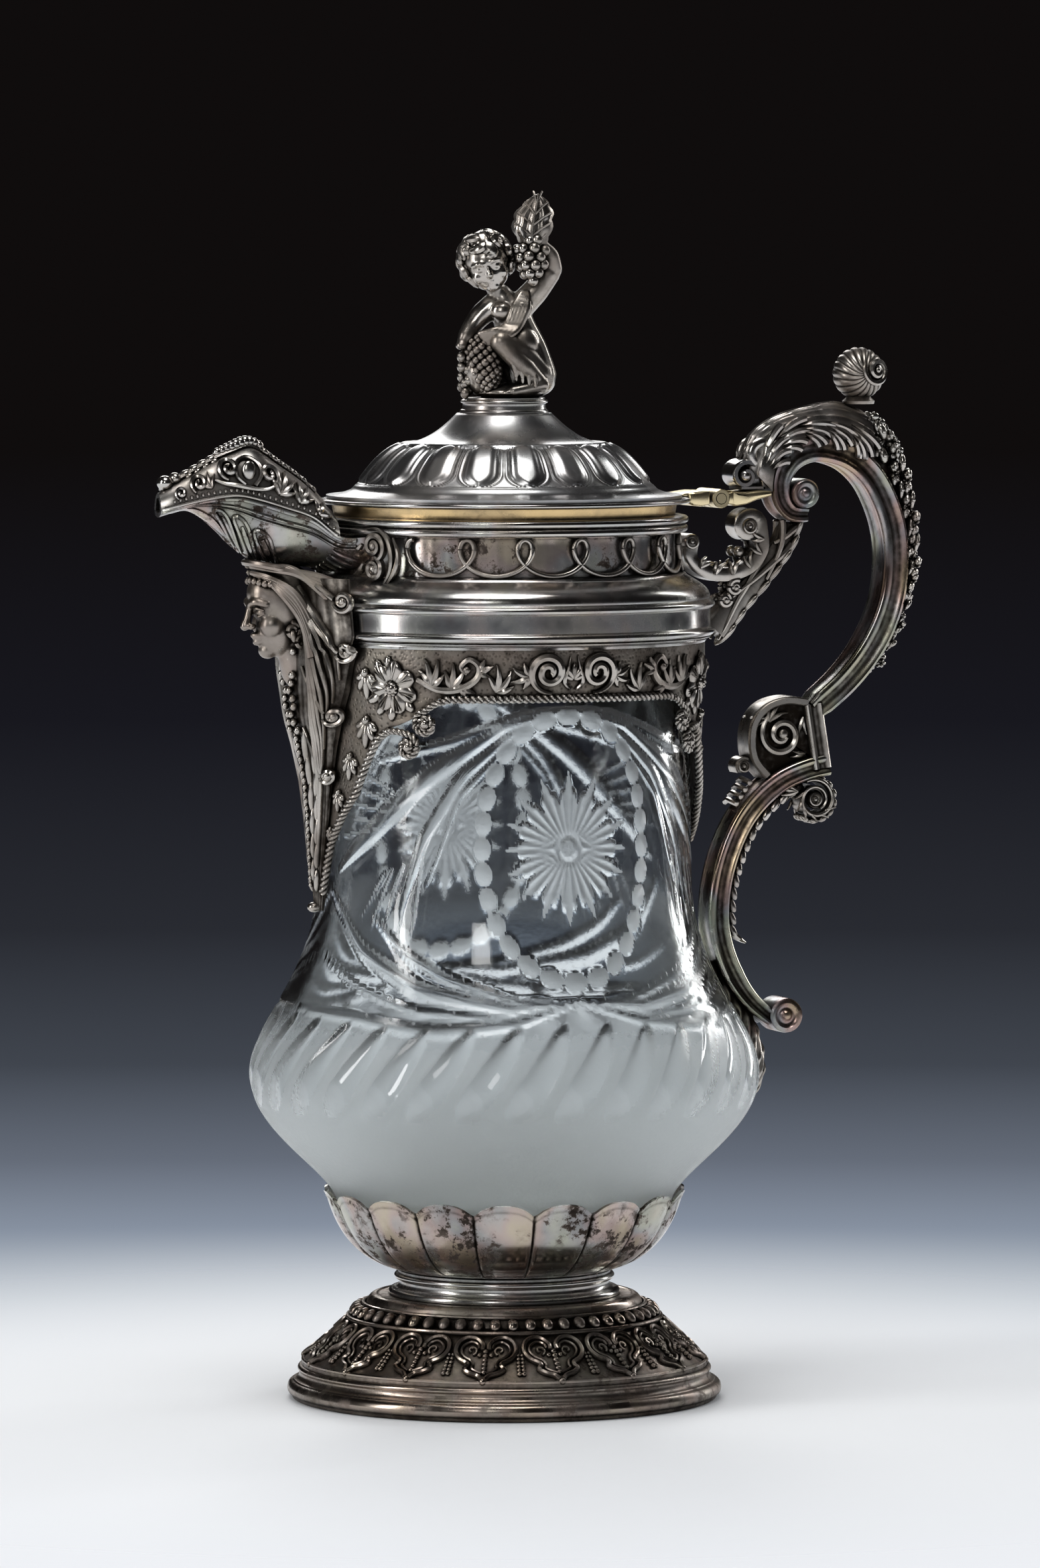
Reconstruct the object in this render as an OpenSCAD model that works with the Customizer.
// Claret jug: a cut-glass vessel in silver mounts, with a cast handle, a covered spout
// and a hinged domed lid that carries a cast figure.
// +Z is up, the handle is at +X and the spout at -X, and the foot stands on z = 0.

/* [Foot] */
// Largest radius of the base wire
foot_r = 59.5; // [56:0.5:62]
// Height of the stepped base wire
base_wire_h = 9; // [8:0.5:10]
// Height at which the chased dome ends and the waist begins
foot_dome_z = 28.5; // [26:0.5:30]
// Radius of the waist between foot and calyx
waist_r = 28.8; // [27:0.2:30]
// Height at which the calyx begins
waist_top_z = 35; // [34:0.5:37]
// Thickness of the raised foot sheet
foot_wall = 1.4; // [1.2:0.1:1.8]
// Beads in the wire round the top of the dome
foot_beads = 54; // [48:1:60]
// Chased hearts round the dome
foot_hearts = 16; // [14:1:18]

/* [Calyx] */
// Height of the lobed cup that holds the glass
calyx_h = 22.4; // [20:0.4:24]
// Outer radius of the cup at its petal tips
calyx_r = 49.6; // [49:0.2:51]
// Petals round the cup
petals = 18; // [16:1:20]
// Thickness of the cup's sheet
calyx_wall = 0.9; // [0.8:0.1:1.1]

/* [Glass] */
// Radius of the belly
belly_r = 69.7; // [68:0.5:72]
// Height of the widest part of the belly
belly_z = 89; // [87:0.5:91]
// Radius of the neck under the collar
neck_r = 50.7; // [50:0.1:51.5]
// Height of the glass neck's ground rim
glass_top_z = 217; // [215:0.5:218]
// Thickness of the glass wall
glass_wall = 4.5; // [3.5:0.5:5.5]
// Layer of plaster between the glass and the silver
plaster = 0.7; // [0.5:0.1:1]

/* [Collar] */
// How far the collar's bead moulding stands out from the glass neck
collar_step = 6.7; // [6.2:0.1:8]
// How far the upright gallery band stands in from that moulding
gallery_step = 10.8; // [10:0.1:11.5]
// Height of the gallery band
gallery_h = 10.5; // [9.5:0.5:12]
// Thickness of the collar's sheet
collar_wall = 1.2; // [1:0.1:1.5]
// Loops of wire round the gallery
gallery_loops = 18; // [16:1:20]
// Diameter of the rope wire on the apron's edge
rope_d = 2; // [1.6:0.1:2.4]
// Thickness of the apron's sheet
apron_wall = 0.8; // [0.7:0.1:1]

/* [Lid] */
// How far the lid's rim reaches past the gallery band
lid_reach = 4.2; // [3.6:0.1:5]
// Thickness of the lid's rim
lid_rim_h = 1.2; // [1:0.1:1.6]
// Height of the dome above the rim
dome_h = 23.2; // [21:0.2:25]
// Thickness of the dome's sheet
lid_wall = 1; // [0.8:0.1:1.3]
// Lobes round the dome
lobes = 18; // [16:1:20]
// Depth to which the bezel reaches into the neck
bezel_depth = 5; // [4:0.5:6]
// Clearance of the bezel in the neck
bezel_gap = 0.5; // [0.4:0.1:0.8]
// Radius of the finial's plinth
plinth_r = 11.9; // [11:0.2:13]

/* [Hinge] */
// Distance of the hinge pin from the lid's rim
hinge_reach = 9.7; // [9.2:0.1:10.6]
// Diameter of the hinge pin
pin_d = 2.8; // [2.4:0.1:3]
// Outer diameter of the knuckles
knuckle_d = 5.2; // [4.8:0.1:5.6]
// Width of the hinge
hinge_w = 15; // [13:0.5:18]
// Running clearance round the pin
pin_gap = 0.06; // [0.04:0.01:0.09]

/* [Handle] */
// Width of the handle's moulded strap
strap_w = 11; // [10:0.25:12]
// Thickness of the handle's moulded strap
strap_t = 7.4; // [6.8:0.2:8]
// Radius of the thumb ball
ball_r = 7.2; // [6.5:0.1:7.8]

/* [Hidden] */
silver = "#b9b6b0";
gilt = "#c79a4b";
$fn = 96;
touch = 0.05;

// Points of a cubic curve from a to d, pulled towards b and c
function bend(a, b, c, d, n = 8) = [for (i = [0:n]) let (t = i / n, s = 1 - t)
    s * s * s * a + 3 * s * s * t * b + 3 * s * t * t * c + t * t * t * d];
// Points of a smooth curve through every point of a list
function through(p, n = 3) = [for (i = [0:len(p) - 2]) let (a = p[max(i - 1, 0)], b = p[i],
    c = p[i + 1], d = p[min(i + 2, len(p) - 1)])
    for (k = [0:(i == len(p) - 2 ? n : n - 1)]) let (t = k / n)
    0.5 * (2 * b + (c - a) * t + (2 * a - 5 * b + 4 * c - d) * t * t
        + (3 * b - a - 3 * c + d) * t * t * t)];
function tail(p) = [for (i = [1:len(p) - 1]) p[i]];
function reversed(p) = [for (i = [len(p) - 1:-1:0]) p[i]];
function turned90(v) = [v[1], -v[0]];
function unit(v) = v / norm(v);
// Unit vector across a path at point i, to its right
function across(p, i) = turned90(unit(p[min(i + 1, len(p) - 1)] - p[max(i - 1, 0)]));
// A path moved to its left by w
function inset(p, w) = [for (i = [0:len(p) - 1]) p[i] - w * across(p, i)];
// Linear look-up of y at x in a list of [x, y] that rises in x
function at(table, x) = lookup(x, table);

// Sheet of even wall, turned from its outer path
module turned_sheet(path, wall) rotate_extrude() polygon(concat(path, reversed(inset(path, wall))));

// Closed surface through rings of points that all have the same count
module skin(rings) {
    n = len(rings[0]);
    m = len(rings);
    polyhedron(points = [for (r = rings) each r],
        faces = concat([[for (i = [0:n - 1]) i]],
            [for (j = [0:m - 2], i = [0:n - 1]) each let (k = (i + 1) % n)
                [[j * n + i, (j + 1) * n + i, (j + 1) * n + k], [j * n + i, (j + 1) * n + k, j * n + k]]],
            [[for (i = [n - 1:-1:0]) (m - 1) * n + i]]));
}

// Closed surface of a curved sheet: each ring goes along its outside and comes back along its inside
module sheet_skin(rings) {
    n = len(rings[0]);
    m = len(rings);
    polyhedron(points = [for (r = rings) each r],
        faces = concat([for (i = [0:n / 2 - 2]) each [[i, i + 1, n - 2 - i], [i, n - 2 - i, n - 1 - i]]],
            [for (j = [0:m - 2], i = [0:n - 1]) each let (k = (i + 1) % n)
                [[j * n + i, (j + 1) * n + i, (j + 1) * n + k], [j * n + i, (j + 1) * n + k, j * n + k]]],
            [for (i = [0:n / 2 - 2], e = [(m - 1) * n]) each
                [[e + i, e + n - 2 - i, e + i + 1], [e + i, e + n - 1 - i, e + n - 2 - i]]]));
}

// Ring surface whose sections go all the way round
module ring_skin(sections) {
    n = len(sections[0]);
    m = len(sections);
    polyhedron(points = [for (r = sections) each r],
        faces = [for (j = [0:m - 1], i = [0:n - 1]) each let (k = (i + 1) % n, l = (j + 1) % m)
            [[j * n + i, j * n + k, l * n + k], [j * n + i, l * n + k, l * n + i]]]);
}

function polar(r, a, z) = [r * cos(a), r * sin(a), z];

// Sizes that other pieces take from the glass neck
collar_r = neck_r + collar_step;
gallery_r = collar_r - gallery_step;
lid_r = gallery_r + lid_reach;
hinge_x = lid_r + hinge_reach;
// The handle, the spout's veil and the finial were drawn in [distance, height] on a jug of these sizes
drawn_belly = [69.7, 89];
drawn_neck = [57.4, 217];
drawn_h = drawn_neck[1] - drawn_belly[1];
// Height and place that a drawn one has on this jug
function placed_z(z) = z > drawn_neck[1] ? z - drawn_neck[1] + glass_top_z
    : belly_z + (z - drawn_belly[1]) * (glass_top_z - belly_z) / drawn_h;
function placed(p) = let (f = max(0, min(1, (p[1] - drawn_belly[1]) / drawn_h)))
    [p[0] + (1 - f) * (belly_r - drawn_belly[0]) + f * (collar_r - drawn_neck[0]), placed_z(p[1])];
function all_placed(list) = [for (p = list) placed(p)];
function placed_table(list) = [for (p = list) [placed_z(p[0]), p[1]]];

// Depth of the valley between two lobes at angle a: 0 on a lobe's crown and 1 in the valley
function valley(a, count) = 1 - abs(cos(a * count / 2));

// Lobed sheet round the axis, from its outer path; depth and scallop grow along the path
module lobed_sheet(path, wall, depth, count, scallop, per = 6) {
    n = len(path);
    ring_skin([for (k = [0:count * per - 1]) let (a = 360 * k / (count * per), v = valley(a, count),
        cut = [for (i = [0:n - 1]) let (t = i / (n - 1), f = i * (1 - scallop * v), j = min(floor(f), n - 2))
            path[j] + (f - j) * (path[j + 1] - path[j]) - depth(t) * v * across(path, i)])
        [for (p = concat(cut, reversed(inset(cut, wall)))) polar(p[0], a, p[1])]]);
}

// Strap swept along a path in the plane of the handle; the section is [across, sideways],
// and size(t) scales it along the way
module strap(path, section, size) {
    n = len(path);
    skin([for (i = [0:n - 1]) let (t = i / (n - 1), o = across(path, i), s = size(t))
        [for (q = section) let (p = path[i] + q[0] * s[0] * o) [p[0], q[1] * s[1], p[1]]]]);
}

// Place things at an angle round the axis
module at_angle(a) rotate([0, 0, a]) children();
module both_sides() { children(); mirror([0, 1, 0]) children(); }

// Foot
dome_r = foot_r - 4;
dome_foot_r = foot_r - 7.5;
bead_d = 3;
bead_ring_r = 40;
bead_ring_z = foot_dome_z - 5.8;
foot_path = concat([[dome_r, base_wire_h]],
    bend([dome_r, base_wire_h + 1], [dome_r - 5.5, base_wire_h + 5], [dome_r - 9.5, bead_ring_z - 4.5],
        [bead_ring_r + 1.8, bead_ring_z - 0.8], 6),
    [[bead_ring_r - 1.6, bead_ring_z + 0.4]],
    bend([bead_ring_r - 2.1, bead_ring_z + 2.4], [37.6, foot_dome_z - 1.6], [37, foot_dome_z], [35, foot_dome_z], 3),
    [[waist_r + 0.2, foot_dome_z]]);

module foot_base_wire() color(silver) rotate_extrude() polygon(concat(
    [[dome_foot_r, 0], [foot_r - 1.7, 0], [foot_r - 1.7, 1.1]],
    [for (a = [-70:20:70]) [foot_r - 1.9 + 1.9 * cos(a), 2.9 + 1.8 * sin(a)]],
    bend([foot_r - 1.9, 5], [foot_r - 3.1, 5.4], [foot_r - 3.4, 6], [foot_r - 3.3, base_wire_h - 1.5], 4),
    [[foot_r - 3.7, base_wire_h], [dome_foot_r, base_wire_h]]));

// Outline of one chased heart, of half width w, tip down
module heart(w) {
    for (s = [-1, 1]) translate([s * w * 0.5, 0]) circle(r = w * 0.52, $fn = 32);
    polygon([[-w * 0.97, -w * 0.2], [0, -w * 1.6], [w * 0.97, -w * 0.2], [0, w * 0.2]]);
}

heart_w = 5.4;
heart_line = 0.8;
heart_i = 4;
heart_at = foot_path[heart_i];
heart_out = across(foot_path, heart_i);
module foot_dome() color(silver) union() {
    turned_sheet(foot_path, foot_wall);
    for (k = [0:foot_hearts - 1]) at_angle(-116 + 360 * k / foot_hearts)
        translate([heart_at[0], 0, heart_at[1]]) rotate([0, atan2(heart_out[0], heart_out[1]), 0]) rotate([0, 0, -90]) linear_extrude(1.6, center = true)
            difference() { heart(heart_w + heart_line / 2); heart(heart_w - heart_line / 2); }
}

module foot_bead_wire() color(silver) union() {
    for (k = [0:foot_beads - 1]) at_angle(360 * k / foot_beads)
        translate([bead_ring_r + 0.2, 0, bead_ring_z + 1.55]) sphere(d = bead_d, $fn = 24);
    translate([0, 0, bead_ring_z + 1.5]) rotate_extrude() translate([bead_ring_r + 0.2, 0]) circle(d = 1.6, $fn = 24);
}

waist_path = concat(bend([waist_r + 2.8, foot_dome_z], [waist_r + 2.4, foot_dome_z + 1.6],
    [waist_r + 0.4, foot_dome_z + 1.6], [waist_r, waist_top_z - 3], 5), [[waist_r + 0.3, waist_top_z]]);
module foot_waist() color(silver) rotate_extrude() polygon(concat(waist_path,
    [[0, waist_top_z], [0, waist_top_z - 1.5], [waist_r - 1.5, waist_top_z - 1.5], [waist_r - 1, foot_dome_z]]));

// Calyx and glass
calyx_seat_r = 22;
calyx_path = concat([[calyx_seat_r, waist_top_z]],
    bend([waist_r - 1, waist_top_z + 0.1], [calyx_r - 9.6, waist_top_z + 2.2], [calyx_r - 3.3, waist_top_z + calyx_h * 0.45],
        [calyx_r - 0.3, waist_top_z + calyx_h], 5));
petal_depth = 1.3;
function petal_valley(t) = petal_depth * t * t;
module calyx() color(silver) lobed_sheet(calyx_path, calyx_wall, function (t) petal_valley(t), petals, 0.13, 4);

seat_n = 5;
calyx_last = len(calyx_path) - 1;
// Point inside the calyx's wall, clear of its valleys, with a gap for the plaster
function calyx_inside(i, gap) = calyx_path[i]
    - (calyx_wall + gap + petal_valley(min((i + 1) / calyx_last, 1))) * across(calyx_path, i);
plaster_path = [for (i = [0:seat_n]) calyx_inside(i, 4 * touch)];
glass_seat = inset(plaster_path, plaster);
glass_h = glass_top_z - belly_z;
glass_lip = calyx_inside(calyx_last, 0.2);
glass_path = concat([for (i = [1:seat_n]) glass_seat[i]],
    bend(glass_lip, glass_lip + [5.5, 8], [belly_r, belly_z - 15], [belly_r, belly_z], 9),
    tail(bend([belly_r, belly_z], [belly_r, belly_z + 14], [neck_r + 0.9, belly_z + 26],
        [neck_r + 0.5, belly_z + glass_h * 0.414], 9)),
    [[neck_r, belly_z + glass_h * 0.594], [neck_r, glass_top_z]]);
module calyx_plaster() color("#d8d2c4") rotate_extrude() polygon(concat([[0, waist_top_z + touch]],
    plaster_path, reversed([for (i = [1:seat_n]) glass_seat[i]]), [[0, glass_seat[1][1]]]));

glass_inner = inset(glass_path, glass_wall);
module glass_vessel() color("#dfe8e6", 0.4) rotate_extrude() polygon(concat([[0, glass_path[0][1]]],
    glass_path, reversed(glass_inner), [[0, glass_inner[0][1]]]));

// Collar
collar_z = glass_top_z - 7;
band_h = 7.7;
band_r = collar_r - 1.2;
apron_top_z = collar_z - 3;
gallery_z = collar_z + 16;
collar_path = concat([[collar_r - 2.6, apron_top_z], [collar_r - 2, apron_top_z + 1.2]],
    [for (a = [-60:30:60]) [collar_r - 1.4 + 1.4 * cos(a), collar_z + 1.3 * sin(a)]],
    [[band_r, collar_z + 1.6], [band_r, collar_z + band_h - 1.6]],
    [for (a = [-60:30:60]) [collar_r - 1.4 + 1.4 * cos(a), collar_z + band_h + 1.3 * sin(a)]],
    bend([collar_r - 1.2, collar_z + band_h + 1.8], [collar_r - 1.6, gallery_z - 4.6],
        [gallery_r + gallery_step * 0.56, gallery_z - 2], [gallery_r + 1.2, gallery_z], 6),
    [[gallery_r - collar_wall, gallery_z]]);
module collar() color(silver) turned_sheet(collar_path, collar_wall);

neck_plaster_r = collar_r - 2.6 - collar_wall - touch;
module neck_plaster() color("#d8d2c4") rotate_extrude()
    polygon([[neck_r, apron_top_z - 1], [neck_plaster_r, apron_top_z - 1],
        [neck_plaster_r, glass_top_z - 1], [neck_r, glass_top_z - 1]]);

// Apron: the skirt under the collar, shallow at the sides and deep at spout and handle
apron_r = collar_r - 2.7;
apron_low_r = neck_r + 2.1;
shallow_z = apron_top_z - 12;
spout_tail_z = placed_z(134.5);
handle_tail_z = placed_z(150);
tongue_a = 40;
// Height of the apron's edge at angle a, measured from +X
function apron_edge(a) = let (b = abs(((a + 540) % 360) - 180), c = min(b, 180 - b),
    tip = b > 90 ? spout_tail_z : handle_tail_z, t = c / tongue_a)
    t < 1 ? tip + (shallow_z - 8 - tip) * pow(t, 0.75)
    : shallow_z - 8 * max(0, 1 - (t - 1) * 4);
// Outer radius of the apron at height z
function apron_radius(z) = at([[shallow_z - 14, apron_low_r], [shallow_z, apron_low_r + 0.5],
    [apron_top_z - 5, apron_r], [apron_top_z, apron_r]], z);
apron_n = 72;
module collar_apron() color(silver) ring_skin([for (k = [0:apron_n - 1]) let (a = 360 * k / apron_n,
    e = apron_edge(a), zs = [e, max(e + 0.5, shallow_z - 14), max(e + 1, shallow_z), apron_top_z - 5, apron_top_z])
    concat([for (z = zs) polar(apron_radius(z), a, z)],
        [for (z = reversed(zs)) polar(apron_radius(z) - apron_wall, a, z)])]);

// Rope wire under the apron's edge, skirted by the veil and the handle's root
rope_gap_a = 6;
function rope_ring(a) = let (z = apron_edge(a) - rope_d / 2 - touch, r = apron_radius(z) - 0.1)
    [for (b = [0:-60:-300]) polar(r + rope_d / 2 * cos(b), a, z + rope_d / 2 * sin(b))];
module apron_rope() color(silver) both_sides()
    skin([for (k = [0:32]) rope_ring(rope_gap_a + (180 - 2 * rope_gap_a) * k / 32)]);

// Rope volutes that end the apron's edge, at angles measured from the spout or handle
volute_r = 3.1;
volute_wire = 1.7;
module rope_volute(a, z) at_angle(a) translate([apron_radius(z + volute_r) + volute_wire / 2 + 6 * touch, 0, z])
    rotate([0, 90, 0]) union() {
        rotate_extrude() translate([volute_r, 0]) circle(d = volute_wire, $fn = 16);
        sphere(d = volute_wire * 1.4, $fn = 16);
        translate([-volute_r / 2, 0, 0]) rotate([0, 90, 0]) cylinder(d = volute_wire * 0.7, h = volute_r, center = true);
    }
volute_z = shallow_z - 3.5;
volute_rise = 7.7;
module apron_volutes() color(silver) both_sides() {
    for (a = [tongue_a, 180 - tongue_a]) rope_volute(a, volute_z);
    for (a = [tongue_a + 9, 180 - tongue_a - 9]) rope_volute(a, volute_z + volute_rise);
}

// Five-petalled flowers on the apron, one beside each tongue
flower_z = shallow_z + 4;
flower_r = 4.2;
petal_r = 2.9;
module flower() union() {
    for (k = [0:4]) rotate([0, 0, 90 + 72 * k]) translate([flower_r, 0, 0]) sphere(r = petal_r, $fn = 24);
    for (k = [0:5]) rotate([0, 0, 60 * k]) translate([1.5, 0, 2.4]) sphere(r = 0.9, $fn = 16);
    translate([0, 0, 0.4]) sphere(r = 3, $fn = 24);
}
module apron_flowers() color(silver) both_sides() for (a = [31, 149])
    at_angle(a) translate([apron_r + touch, 0, flower_z]) rotate([0, 90, 0]) intersection() {
        flower();
        translate([-10, -10, 0]) cube([20, 20, 10]);
    }

// Gallery and neck
rim_z = gallery_z + gallery_h;
neck_in_r = gallery_r - collar_wall;
rim_h = 5;
rim_r = gallery_r + 3.6;
rim_top_z = rim_z + rim_h;
bearer_h = 2.8;
bearer_r = gallery_r + 0.4;
bearer_in_r = neck_in_r - touch - 1.2;
bearer_top_z = rim_top_z + bearer_h;
spout_bore_w = 20;
spout_bore_h = gallery_h - 3;
module gallery_band() color(silver) difference() {
    translate([0, 0, gallery_z]) cylinder(r = gallery_r, h = gallery_h);
    translate([0, 0, gallery_z - 1]) cylinder(r = neck_in_r, h = gallery_h + 2);
    translate([-gallery_r - 5, -spout_bore_w / 2, gallery_z + 1.5]) cube([15, spout_bore_w, spout_bore_h]);
}

// One festoon of wire: a hanging bow and the small ring that ends it
bow_wire = 1.3;
bow_ring_r = 1.9;
loop_a = 360 / gallery_loops;
wire_r = gallery_r + 1.7;
bow_r = wire_r * sin(loop_a / 2) - bow_wire / 2;
module festoon() translate([wire_r, 0, gallery_z + touch + bow_wire / 2 + bow_r]) rotate([90, 0, 90]) union() {
    rotate([0, 0, 195]) rotate_extrude(angle = 150) translate([bow_r, 0]) circle(d = bow_wire, $fn = 16);
    translate([bow_r - 1.8, gallery_h - bow_r - bow_wire * 1.1 - bow_ring_r, 0])
        rotate_extrude() translate([bow_ring_r, 0]) circle(d = bow_wire, $fn = 16);
}
spout_free_a = 38;
module gallery_loops_wire() color(silver)
    for (k = [0:gallery_loops - 1]) let (a = -90 + loop_a * k, b = abs(((a + 720) % 360) - 180))
        if (b > spout_free_a) at_angle(a) festoon();

module neck_rim_wire() color(silver) translate([0, 0, rim_z]) rotate_extrude() polygon(concat(
    [[neck_in_r, 0], [gallery_r + 1.6, 0]],
    [for (a = [-80:40:80]) [rim_r - 1.3 + 1.1 * cos(a), 1.4 + 1.1 * sin(a)]],
    [for (a = [-80:40:80]) [rim_r - 1 + 1 * cos(a), 3.8 + 1.1 * sin(a)]],
    [[gallery_r + 1.2, rim_h], [neck_in_r, rim_h]]));

module neck_bearer() color(gilt) translate([0, 0, rim_top_z]) rotate_extrude()
    polygon([[bearer_in_r, -rim_h], [neck_in_r - touch, -rim_h], [neck_in_r - touch, 0], [bearer_r - 0.5, 0],
        [bearer_r, bearer_h], [bearer_in_r, bearer_h]]);

// Spout: stations from root to lip give the distance from the axis, the bottom, the top edge,
// the half width and the cover's crest
spout_root_r = gallery_r + touch;
spout_stations = [
    [spout_root_r, gallery_z + 0.8, rim_z - touch, 19.2, rim_z + 3],
    [gallery_r + 5.6, gallery_z + 1.4, rim_z - touch, 14.5, rim_z + 10.4],
    [gallery_r + 12, gallery_z + 2.0, rim_z + 5.0, 11.5, rim_z + 17],
    [gallery_r + 19, gallery_z + 2.8, rim_z + 7.6, 9.5, rim_z + 22],
    [gallery_r + 26, gallery_z + 4.6, rim_z + 9.8, 8.2, rim_z + 26.4],
    [gallery_r + 32, gallery_z + 9.0, rim_z + 11.0, 7.4, rim_z + 25],
    [gallery_r + 38, gallery_z + 14.0, rim_z + 10.4, 6.4, rim_z + 22.5],
    [gallery_r + 44, gallery_z + 17.4, rim_z + 9.2, 5.2, rim_z + 19.2],
    [gallery_r + 49, gallery_z + 16.8, rim_z + 8.0, 4.2, rim_z + 16.6],
    [gallery_r + 52.4, gallery_z + 15.8, rim_z + 7.2, 3, rim_z + 14.4]];
spout_wall = 1.2;
crest_h = 2.6;
// Half of an oval from its bottom at z0 to its edge at z1
function bowl(w, z0, z1, n = 5) = [for (i = [0:n]) let (a = 90 * i / n) [w * sin(a), z1 - (z1 - z0) * cos(a)]];
// Whole open section, outside from one edge to the other and back along the inside
function channel(o, i) = let (last = len(o) - 1) concat([for (k = [last:-1:1]) [-o[k][0], o[k][1]]], o,
    reversed(i), [for (k = [1:last]) [-i[k][0], i[k][1]]]);
function trough_ring(s) = [for (q = channel(bowl(s[3], s[1], s[2]), bowl(s[3] - spout_wall, s[1] + spout_wall, s[2])))
    [s[0] > spout_root_r ? -s[0] : -sqrt(pow(spout_root_r, 2) - pow(q[0], 2)), q[0], q[1]]];
module spout_trough() color(silver) sheet_skin([for (s = reversed(spout_stations)) trough_ring(s)]);

// Cover over the spout, from the neck's rim to the lip, and the crest along its back
covered = [for (i = [1:len(spout_stations) - 1]) spout_stations[i]];
function cover_top(s) = s[4] - crest_h;
function cover_ring(s) = let (z = s[2] + touch) [for (q = channel(bowl(s[3], cover_top(s), z),
    bowl(s[3] - spout_wall, cover_top(s) - spout_wall, z))) [-s[0], q[0], q[1]]];
module spout_hood() color(silver) sheet_skin([for (s = covered) cover_ring(s)]);

crest_w = 3.6;
module spout_crest() color(silver) rotate([90, 0, 0]) linear_extrude(crest_w, center = true) polygon(concat(
    [for (s = covered) [-s[0], cover_top(s) + touch]],
    reversed([for (i = [0:len(covered) - 1]) let (s = covered[i]) each i == 0 ? [[-s[0], s[4] - crest_h + 1.5]]
        : [[-s[0] + 2, s[4] - 0.9], [-s[0] - 1.2, s[4]]]])));

// Scrolls that cover the joint of spout and gallery
module spout_side_scrolls() color(silver) both_sides() at_angle(152) translate([gallery_r + 3.2, 0, gallery_z + 5])
    rotate([90, 0, 90]) for (s = [-1, 1]) translate([0.6 * s, 2.7 * s, 0]) {
        rotate([0, 0, s > 0 ? -80 : 100]) rotate_extrude(angle = 300)
            translate([1.9, 0]) circle(d = 1.6, $fn = 16);
        sphere(d = 2, $fn = 24);
    }

// Mask under the spout, with its veil and its strings of pearls
veil_front_r = collar_r + 4;
head_r = 8.6;
head_x = veil_front_r + 2.4;
head_z = gallery_z - 6.4;
module mask_head() color(silver) difference() {
    hull() {
        translate([-head_x, 0, head_z]) sphere(r = head_r, $fn = 24);
        translate([-head_x - 5, 0, head_z - 12]) sphere(r = 3.2, $fn = 16);
        translate([-head_x, 0, head_z - 12]) sphere(r = 4.4, $fn = 16);
        translate([-head_x - head_r - 1.2, 0, head_z - 4.4]) sphere(r = 1.2, $fn = 12);
    }
    translate([0, 0, head_z - 30]) cylinder(r = veil_front_r + 0.1, h = 60);
}

veil_front = placed_table([[134.5, apron_low_r + 1.6], [160, apron_low_r + 2.7], [170, apron_low_r + 3.6],
    [180, apron_low_r + 5.5], [187.5, apron_low_r + 7.4], [200, veil_front_r], [227, veil_front_r]]);
veil_back = [[spout_tail_z, apron_low_r + 0.1], [shallow_z, apron_low_r + 0.7], [apron_top_z - 5, apron_r + 0.1],
    [apron_top_z - 0.6, apron_r + 0.1], [apron_top_z - 0.1, collar_r + 0.1], [gallery_z + 1, collar_r + 0.1]];
veil_half_a = placed_table([[134.5, 1.5], [150, 5], [170, 10], [180, 13], [190, 17], [200, 22], [210, 26], [227, 24]]);
veil_zs = concat([for (z = [134.7, 142, 150, 160, 170, 180, 188, 196, 201]) placed_z(z)],
    [apron_top_z - 0.6, apron_top_z - 0.1, collar_z + 4, collar_z + 10, gallery_z - 0.5]);
function veil_ring(z) = let (h = at(veil_half_a, z), f = at(veil_front, z), b = at(veil_back, z))
    concat([for (k = [-3:3]) polar(f - (f - b) * 0.7 * pow(abs(k) / 3, 3) + (abs(k) == 2 ? 0.5 : 0), 180 + h * k / 3, z)],
        [for (k = [3:-1:-3]) polar(b + 0.22, 180 + h * k / 3, z)]);
module mask_veil() color(silver) skin([for (z = veil_zs) veil_ring(z)]);

pearl_d = 2.3;
module mask_pearls() color(silver) both_sides() for (k = [0:9]) let (z = head_z - 14.5 - k * (pearl_d + 0.05),
    r = at(veil_front, z) + pearl_d / 2 + 0.25) rotate([0, 0, 180 + 5 * cos(k * 10)]) translate([r, 0, z]) sphere(d = pearl_d, $fn = 24);

// Moulded section of the handle's strap: rounded faces, and a ridge along each side
strap_section = [[0.5, -0.34], [0.5, 0.34], [0.3, 0.5], [0.12, 0.41], [-0.12, 0.41], [-0.3, 0.5],
    [-0.5, 0.34], [-0.5, -0.34], [-0.3, -0.5], [-0.12, -0.41], [0.12, -0.41], [0.3, -0.5]];
slab_section = [[0.5, -0.4], [0.5, 0.4], [0.25, 0.5], [-0.25, 0.5], [-0.5, 0.4], [-0.5, -0.4], [-0.25, -0.5], [0.25, -0.5]];
function grow(t, a, b) = min(1, a + (1 - a) * t / b);

upper_points = all_placed([[87.4, 240.4], [82.6, 241], [79.7, 244.6], [79.3, 250], [82, 255.2], [87, 258.2], [93.4, 258.2],
    [100.4, 255.8], [106.2, 250.8], [110.2, 244], [112.8, 236], [113.5, 227], [112.5, 217.5], [109.3, 208.5],
    [104.6, 200.8], [98.8, 194.2], [92.2, 188.6]]);
upper_path = through(upper_points, 2);
upper_eye = placed([86.2, 246.2]);
upper_eye_r = 3.9;
function upper_size(t) = let (g = grow(t, 0.55, 0.3)) [strap_t * g, strap_w * (0.7 + 0.3 * g)];
module eye(p, r, w) translate([p[0], 0, p[1]]) rotate([90, 0, 0]) {
    cylinder(r = r, h = w, center = true);
    for (s = [-1, 1]) translate([0, 0, s * w / 2]) rotate_extrude() translate([r * 0.45, 0]) circle(r = r * 0.3, $fn = 16);
}
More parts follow.
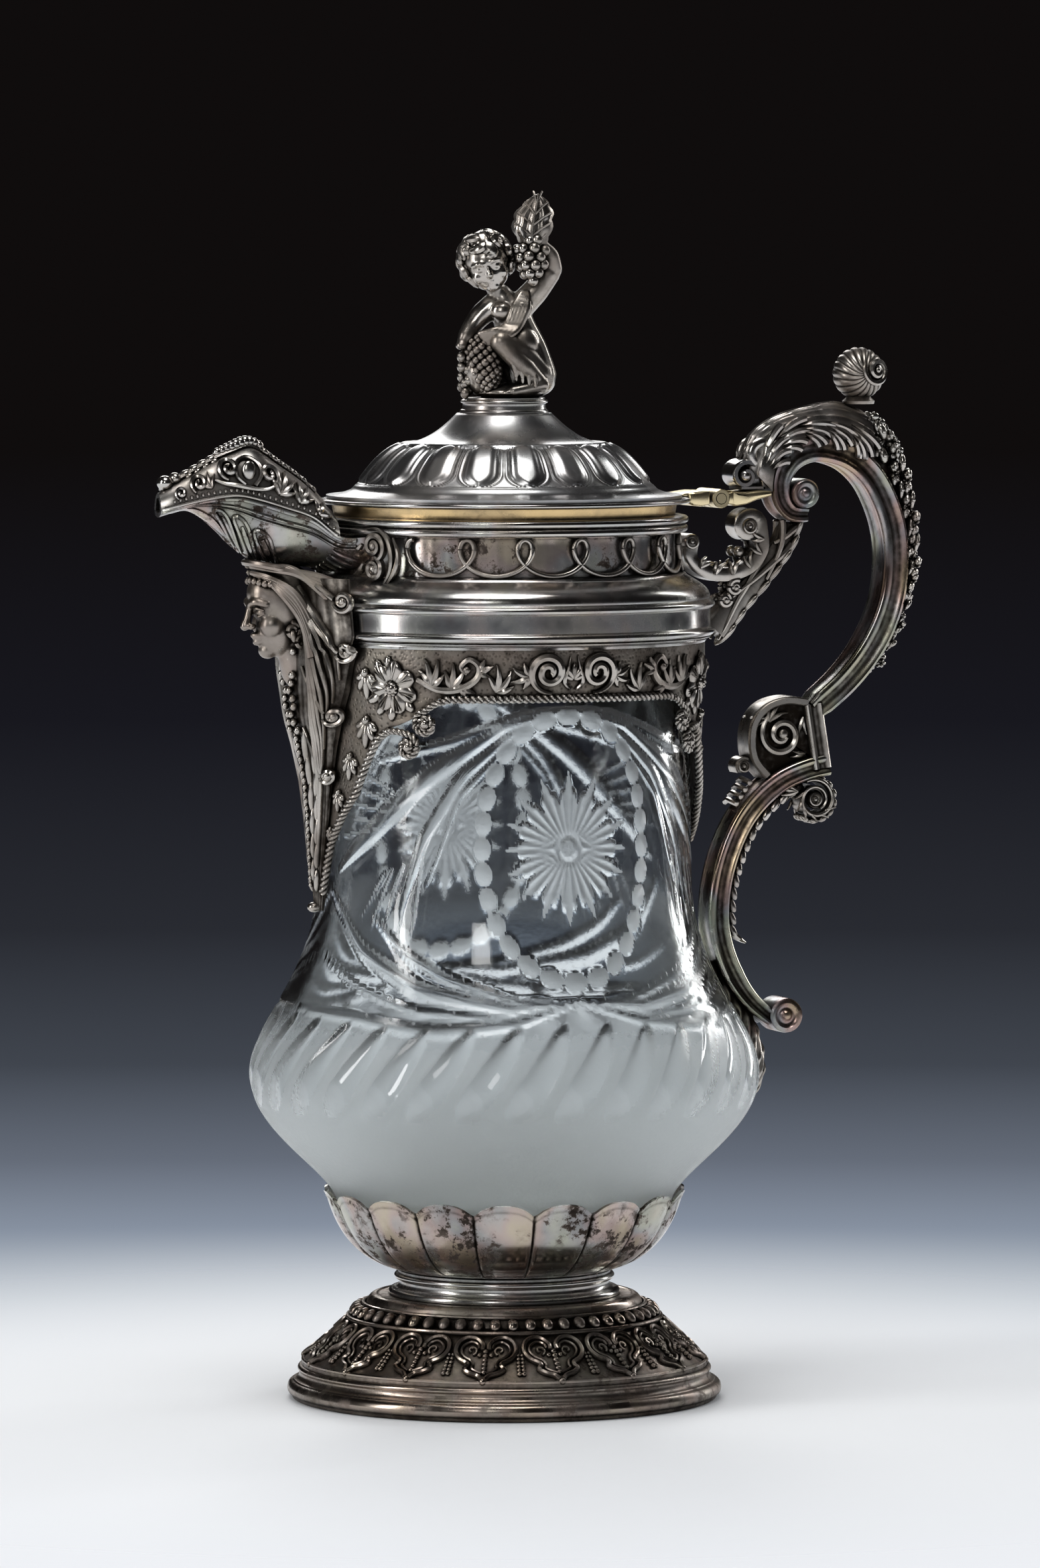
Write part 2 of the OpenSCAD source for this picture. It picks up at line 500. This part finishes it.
module handle_upper_scroll() color(silver) union() {
    strap(upper_path, strap_section, function (t) upper_size(t));
    eye(upper_eye, upper_eye_r, strap_w);
}

lower_points = all_placed([[93.6, 171.4], [87, 170], [80, 167.2], [73.6, 162.4], [68.3, 156], [64.3, 147.6], [61.8, 138],
    [61.3, 128.5], [63, 120.4], [66.4, 112.8], [71, 106.6], [77, 101.4]]);
lower_path = through(lower_points, 2);
lower_eye = placed([81.4, 102.2]);
lower_eye_r = 4.6;
lower_t = strap_t * 0.9;
lower_w = strap_w * 0.95;
module handle_lower_scroll() color(silver) union() {
    strap(lower_path, strap_section, function (t) let (g = grow(1 - t, 0.7, 0.2)) [lower_t * g, lower_w]);
    eye(lower_eye, lower_eye_r, lower_w);
}

// Edge of a strap that follows a path, on its right (side 1) or its left (side -1)
function strap_edge(path, i, half, side) = path[i] + side * (half + touch) * across(path, i);
upper_end = len(upper_path) - 1;
knee_w = 8.4;
knee_outline = concat([strap_edge(upper_path, upper_end, strap_t / 2, -1), strap_edge(upper_path, upper_end, strap_t / 2, 1)],
    all_placed([[80, 190.4], [75, 188.8], [72, 184.4], [71.6, 178], [72.6, 171.8], [74, 168.4]]),
    [for (i = [5:-1:0]) strap_edge(lower_path, i, lower_t / 2, 1)]);
knee_scroll = placed([79.4, 178.6]);
module handle_knee() color(silver) union() {
    rotate([90, 0, 0]) linear_extrude(knee_w - 2.4, center = true) polygon(knee_outline);
    both_sides() translate([0, -knee_w / 2 + 0.6, 0]) rotate([90, 0, 0]) {
        translate(knee_scroll) rotate_extrude() translate([4.6, 0]) circle(d = 1.8, $fn = 16);
        translate(knee_scroll + [0.8, -0.4]) sphere(r = 1.9, $fn = 24);
    }
}

spur_r = 5.2;
spur_centre = lower_path[1] - (lower_t / 2 + spur_r + 0.3) * across(lower_path, 1);
module handle_spur_scroll() color(silver) union() {
    translate([spur_centre[0], 0, spur_centre[1]]) rotate([90, 0, 0]) {
        linear_extrude(6, center = true) difference() {
            circle(r = spur_r);
            circle(r = spur_r - 1.6);
        }
        for (y = [-3, 3]) translate([0, 0, y]) rotate_extrude() translate([spur_r - 0.8, 0]) circle(r = 0.8, $fn = 16);
        translate([-spur_r / 2, 0, 0]) cube([spur_r, 1.4, 4], center = true);
    }
    eye(spur_centre, 1.9, 7);
}

root_path = through(all_placed([[59.4, 205.5], [62.4, 211], [67, 216.8], [72.4, 222.4], [77.2, 228], [80.8, 232.8],
    [82.8, 237.8]]), 2);
root_t = 5.8;
root_w = 9;
module handle_root() color(silver) difference() {
    strap(root_path, slab_section, function (t) [root_t * (1.25 - 0.35 * t), root_w * (1.6 - 0.8 * t)]);
    translate([0, 0, apron_top_z - 10]) cylinder(r = collar_r + touch, h = 40);
}

bracket_foot = [gallery_r + 6, rim_z - 3.5];
bracket_path = through(concat([bracket_foot, bracket_foot + [2.4, -3.4]], all_placed([[59.4, 227.2], [64.8, 227.2],
    [70.2, 229], [74.4, 232.6], [75.2, 237.4], [72.2, 240.4], [68.8, 238.6]])), 2);
bracket_eye = placed([70.4, 236.8]);
bracket_t = 2.6;
bracket_w = 8;
module handle_bracket_scroll() color(silver) union() {
    strap(bracket_path, slab_section, function (t) [bracket_t, bracket_w]);
    eye(bracket_eye, 2, bracket_w + 0.6);
    translate([bracket_foot[0], 0, bracket_foot[1]]) rotate([90, 0, 0]) cylinder(d = bracket_t * 1.2, h = bracket_w, center = true);
}

// Leaf over the top of the handle; it stands on the strap's back
leaf_first = 5;
leaf_top = through(all_placed([[71.6, 252], [70.8, 260], [80.8, 267.4], [91, 270], [101, 271.2], [107.5, 268.4]]), 2);
function on_back(i) = upper_path[i] - (strap_t / 2 + 2.4 * touch) * across(upper_path, i);
function leaf_ring(i) = let (b = on_back(leaf_first + i), d = leaf_top[i] - b, w = strap_w / 2)
    [for (q = [[0, w], [0.5, w * 0.86], [0.85, w * 0.5], [1, 0.6], [1, -0.6], [0.85, -w * 0.5], [0.5, -w * 0.86], [0, -w]])
        let (p = b + d * q[0]) [p[0], q[1], p[1]]];
module handle_acanthus() color(silver) skin([for (i = [0:len(leaf_top) - 1]) leaf_ring(i)]);

ball_foot = placed([103.9, 271.35]);
ball_neck_r = 3.3;
ball_h = ball_r + 0.45;
module handle_thumb_ball() color(silver) translate([ball_foot[0], 0, ball_foot[1]]) rotate_extrude() polygon(concat(
    [[0, 0], [ball_neck_r + 0.6, 0], [ball_neck_r + 0.9, 0.65], [ball_neck_r, 1.25]],
    [for (a = [-58:12:86]) ball_r * [cos(a), sin(a)] + [0, ball_h]], [[0, ball_h + ball_r]]));

// Garland of fruit and husks down the handle's back, from the leaf's end
garland_first = leaf_first + len(leaf_top) - 1;
garland_back = through(all_placed([[108.2, 267.6], [117, 260], [120, 248], [122.2, 236], [122.4, 224], [119.5, 212],
    [113, 200.5], [105.2, 192.6]]), 2);
function garland_ring(i) = let (b = on_back(garland_first + i), d = garland_back[i] - b, big = i % 2 == 0 ? 1 : 0.86,
    w = (4.6 - 0.14 * i) * big, skip = i == 0 ? 0.4 : 0)
    [for (q = [[0, 1], [0.6, 1], [1, 0.4], [1, -0.4], [0.6, -1], [0, -1]]) let (p = b + d * q[0] * big)
        [p[0] + skip, w * q[1], p[1] - skip]];
module handle_garland() color(silver) skin([for (i = [0:len(garland_back) - 1]) garland_ring(i)]);

// Husks along the lower scroll's hollow side
husk_first = 7;
husk_last = 17;
function husk_ring(i) = let (o = -across(lower_path, i), b = lower_path[i] + (lower_t / 2 + 2.4 * touch) * o,
    h = (i % 2 == 0 ? 2.4 : 1.8))
    [for (q = [[0, 1.9], [0.7, 1.7], [1, 0.6], [1, -0.6], [0.7, -1.7], [0, -1.9]]) let (p = b + h * q[0] * o) [p[0], q[1], p[1]]];
module handle_lower_garland() color(silver) skin([for (i = [husk_first:husk_last]) husk_ring(i)]);

// Leaf that spreads on the glass and carries the handle's lower end
function glass_r(z) = lookup(z, [for (i = [seat_n:len(glass_path) - 1]) [glass_path[i][1] + i * 1e-6, glass_path[i][0]]]);
tail_zs = [for (z = [78, 80, 84, 88, 92, 96, 100, 104, 108, 112, 116, 118]) placed_z(z)];
tail_t = placed_table([[78, 2], [80, 5.6], [84, 6.6], [96, 6.6], [104, 8], [112, 8], [118, 4.4]]);
tail_half = placed_table([[78, 2], [82, 5.5], [90, 6.5], [104, 6], [118, 3.5]]);
function tail_ring(z) = let (r = glass_r(z) + 0.4, t = at(tail_t, z), w = at(tail_half, z))
    [for (q = [[0, 1], [0.5, 0.9], [1, 0.3], [1, -0.3], [0.5, -0.9], [0, -1]]) let (y = w * q[1])
        [sqrt(r * r - y * y) + t * q[0], -y, z]];
module handle_tail_leaf() color(silver) difference() {
    skin([for (z = tail_zs) tail_ring(z)]);
    strap(lower_path, slab_section, function (t) [lower_t + 4 * touch, strap_w + 4]);
    eye(lower_eye, lower_eye_r + 0.1, strap_w + 4);
}

// Hinge
hinge_t = 4.4;
leaf_gap = 0.3;
knuckle_l = hinge_w / 3;
lid_z = bearer_top_z + 0.3;
hinge_z = lid_z + 0.6;
module knuckle(l) rotate([90, 0, 0]) cylinder(d = knuckle_d, h = l, center = true);
module hinge_plate(x0, x1, w) translate([x0, -w / 2, hinge_z - hinge_t / 2]) cube([x1 - x0, w, hinge_t]);
strap_left = min([for (i = [4:8]) on_back(i)[0]]);
module hinge_standing_leaf() color(silver) difference() {
    union() {
        hinge_plate(hinge_x + knuckle_d / 2 + leaf_gap, strap_left - 0.3, hinge_w);
        both_sides() translate([0, -(knuckle_l * 1.5 + leaf_gap) / 2 - leaf_gap / 4 - knuckle_l / 4, 0]) {
            translate([hinge_x, 0, hinge_z]) knuckle(knuckle_l - leaf_gap / 2);
            hinge_plate(hinge_x, hinge_x + knuckle_d, knuckle_l - leaf_gap / 2);
        }
    }
    translate([hinge_x, 0, hinge_z]) rotate([90, 0, 0]) cylinder(d = pin_d, h = hinge_w * 2, center = true);
}
module hinge_pin() color(silver) translate([hinge_x, 0, hinge_z]) rotate([90, 0, 0])
    cylinder(d = pin_d, h = hinge_w + 0.4, center = true);

curl_r = 3.3;
curl_wall = 1;
module hinge_cover_scroll() color(silver) translate([hinge_x + 6.7, 0, hinge_z + hinge_t / 2 + curl_r + touch]) rotate([90, 0, 0])
    linear_extrude(hinge_w - 3, center = true) difference() {
        circle(r = curl_r);
        circle(r = curl_r - curl_wall);
        polygon([[0, 0], [-6, -3.2], [-6, 2]]);
    }

// Lid
module lid_leaf() color(silver) difference() {
    union() {
        hinge_plate(lid_r - 2, hinge_x - knuckle_d / 2 - leaf_gap, hinge_w);
        translate([hinge_x, 0, hinge_z]) knuckle(knuckle_l - leaf_gap);
        hinge_plate(hinge_x - knuckle_d, hinge_x, knuckle_l - leaf_gap);
    }
    translate([hinge_x, 0, hinge_z]) rotate([90, 0, 0]) cylinder(d = pin_d + 2 * pin_gap, h = hinge_w * 2, center = true);
    translate([0, 0, lid_z - 5]) cylinder(r = lid_r + touch, h = 5 + lid_rim_h + touch);
}

module lid_rim_wire() color(silver) translate([0, 0, lid_z]) rotate_extrude() polygon(concat(
    [[bearer_in_r - bezel_gap - 1.1, 0], [lid_r - 0.5, 0]],
    [for (a = [-60:30:60]) [lid_r - lid_rim_h * 0.5 + lid_rim_h * 0.5 * cos(a), lid_rim_h * (0.5 + 0.45 * sin(a))]],
    [[lid_r - 0.6, lid_rim_h], [bearer_in_r - bezel_gap - 1.1, lid_rim_h]]));
bezel_r = bearer_in_r - bezel_gap;
module lid_bezel() color(gilt) translate([0, 0, lid_z - bezel_depth]) rotate_extrude()
    polygon([[bezel_r - 1.1, 0], [bezel_r - 0.4, 0], [bezel_r, 0.8], [bezel_r, bezel_depth], [bezel_r - 1.1, bezel_depth]]);

dome_z = lid_z + lid_rim_h;
drawn_lid_r = 50.8;
function dome_point(r, f) = [r * lid_r / drawn_lid_r, dome_z + f * dome_h];
stud_d = 4;
flange = dome_point(48.5, 0) + [0, lid_wall + touch];
dome_path = concat([flange, dome_point(41, 0.13)],
    bend(dome_point(40.5, 0.155), dome_point(37.5, 0.29), dome_point(33.5, 0.63), dome_point(25.5, 0.66), 4),
    bend(dome_point(24.6, 0.67), dome_point(20, 0.7), dome_point(16, 0.87), dome_point(plinth_r + 1, 1), 2),
    [[stud_d / 2 + 1, dome_z + dome_h]]);
function lobe_valley(t) = t > 0.2 && t < 0.7 ? 1.4 * sin(180 * (t - 0.2) / 0.5) : 0;
module lid_dome() color(silver) lobed_sheet(dome_path, lid_wall, function (t) lobe_valley(t), lobes, 0, 4);

// Finial
plinth_z = dome_z + dome_h;
plinth_h = 4.2;
module finial_plinth() color(silver) translate([0, 0, plinth_z]) difference() {
    rotate_extrude() polygon([[0, 0], [plinth_r + 0.2, 0], [plinth_r + 0.2, 0.7], [plinth_r - 0.3, 1.1],
        [plinth_r - 0.5, 3], [plinth_r, 3.4], [plinth_r - 0.1, plinth_h], [0, plinth_h]]);
    cylinder(d = stud_d, h = 5, center = true);
}
stud_l = 9;
module finial_stud() color("#b08d57") translate([0, 0, plinth_z + 2.5 - stud_l]) cylinder(d = stud_d, h = stud_l);
washer_t = 1;
module finial_washer() color("#b08d57") translate([0, 0, plinth_z - lid_wall - touch - washer_t]) difference() {
    cylinder(d = stud_d * 3.4, h = washer_t);
    translate([0, 0, -1]) cylinder(d = stud_d, h = 4);
}
nut_t = 3;
module finial_nut() color("#b08d57") translate([0, 0, plinth_z - lid_wall - touch - washer_t - nut_t]) difference() {
    cylinder(d = stud_d * 2, h = nut_t, $fn = 6);
    translate([0, 0, -1]) cylinder(d = stud_d, h = 5);
}

// Seated child with grapes; limbs are hulls between balls, [sideways, towards the front, height, radius],
// in a frame turned so that its front faces the medallion side
figure_z = plinth_z + plinth_h;
module limb(a, b) hull() for (q = [a, b]) translate([q[0], -q[1], figure_z + q[2]]) sphere(r = q[3], $fn = q[3] > 2.5 ? 10 : 8);
module chain(list) for (i = [0:len(list) - 2]) limb(list[i], list[i + 1]);
figure_turn = -20;
module finial_putto() color(silver) rotate([0, 0, figure_turn]) difference() {
    union() {
        chain([[7.2, -1, 6.5, 4.9], [5, -1, 14, 4.6], [2, -0.5, 23, 4.9], [-0.5, 0.3, 28.5, 2.8]]);
        limb([-4.6, 2, 36.6, 6.4], [-4, 3, 34.4, 6.2]);
        chain([[-3.6, 0.5, 25, 2.9], [-9, 2, 19, 2.1], [-11, 4, 14.8, 1.9]]);
        chain([[5.4, -0.5, 26, 3], [9, -1, 31, 2.5], [13.6, -1, 35.6, 2.1], [11.2, 1.5, 41, 1.8], [9.6, 3, 41.6, 1.8]]);
        chain([[7, 0.5, 6.6, 4.6], [-0.5, 6, 15.4, 3.4], [3, 6.4, 9.4, 2.6], [9, 5, 4.4, 2], [2.6, 7.2, 1.9, 1.6]]);
        chain([[5, -3, 5, 4], [-4, -6, 9, 3.2], [-1, -7, 2.4, 2.4]]);
        limb([6.4, -2, 2, 4], [0, 0, 2, 6]);
    }
    translate([0, 0, figure_z - 20 + touch]) cube([60, 60, 40], center = true);
}

grape_r = 1.9;
module bunch(list) for (q = list) translate([q[0], -q[1], figure_z + q[2]]) sphere(r = grape_r, $fn = 6);
module finial_raised_grapes() color(silver) difference() {
    rotate([0, 0, figure_turn]) union() {
        chain([[8, 3.6, 36.5, 2.6], [7.8, 3, 45.5, 4.4], [9, 2, 52, 2.4], [9.3, 1.6, 55.4, 1.4]]);
        bunch([[5.6, 5.6, 39.6], [8.6, 6, 40], [4.8, 5, 43], [6.6, 6.4, 36.8], [9.6, 5.4, 37.4], [7.6, 5.6, 33.8],
            [5.6, 4, 36.4], [10, 4, 35]]);
    }
    finial_putto();
}
module finial_basket_grapes() color(silver) difference() {
    rotate([0, 0, figure_turn]) union() {
        chain([[-8.4, 2, 4, 3.2], [-7.4, 4.4, 9, 4.2], [-4, 6, 5, 4]]);
        for (k = [0:3]) bunch([[-10.6 + k * 2.9, 6.6, 12.2], [-10 + k * 2.9, 8, 8.8], [-8.8 + k * 2.9, 8.4, 5.4]]);
    }
    finial_putto();
    translate([0, 0, figure_z - 20 + touch]) cube([60, 60, 40], center = true);
}
module finial_drape() color(silver) difference() {
    rotate([0, 0, figure_turn]) chain([[4.4, 3.6, 26, 1.5], [3, 4.4, 18.5, 1.7], [-2, 6, 16.4, 1.8], [-7.6, 6, 14.4, 1.6]]);
    finial_putto();
    finial_basket_grapes();
}

foot_base_wire();
foot_dome();
foot_bead_wire();
foot_waist();
calyx();
calyx_plaster();
glass_vessel();
neck_plaster();
collar();
collar_apron();
apron_rope();
apron_volutes();
apron_flowers();
gallery_band();
gallery_loops_wire();
neck_rim_wire();
neck_bearer();
spout_trough();
spout_hood();
spout_crest();
spout_side_scrolls();
mask_head();
mask_veil();
mask_pearls();
handle_upper_scroll();
handle_lower_scroll();
handle_knee();
handle_spur_scroll();
handle_root();
handle_bracket_scroll();
handle_acanthus();
handle_thumb_ball();
handle_garland();
handle_lower_garland();
handle_tail_leaf();
hinge_standing_leaf();
hinge_cover_scroll();
hinge_pin();
lid_leaf();
lid_dome();
lid_rim_wire();
lid_bezel();
finial_plinth();
finial_putto();
finial_raised_grapes();
finial_basket_grapes();
finial_drape();
finial_stud();
finial_washer();
finial_nut();
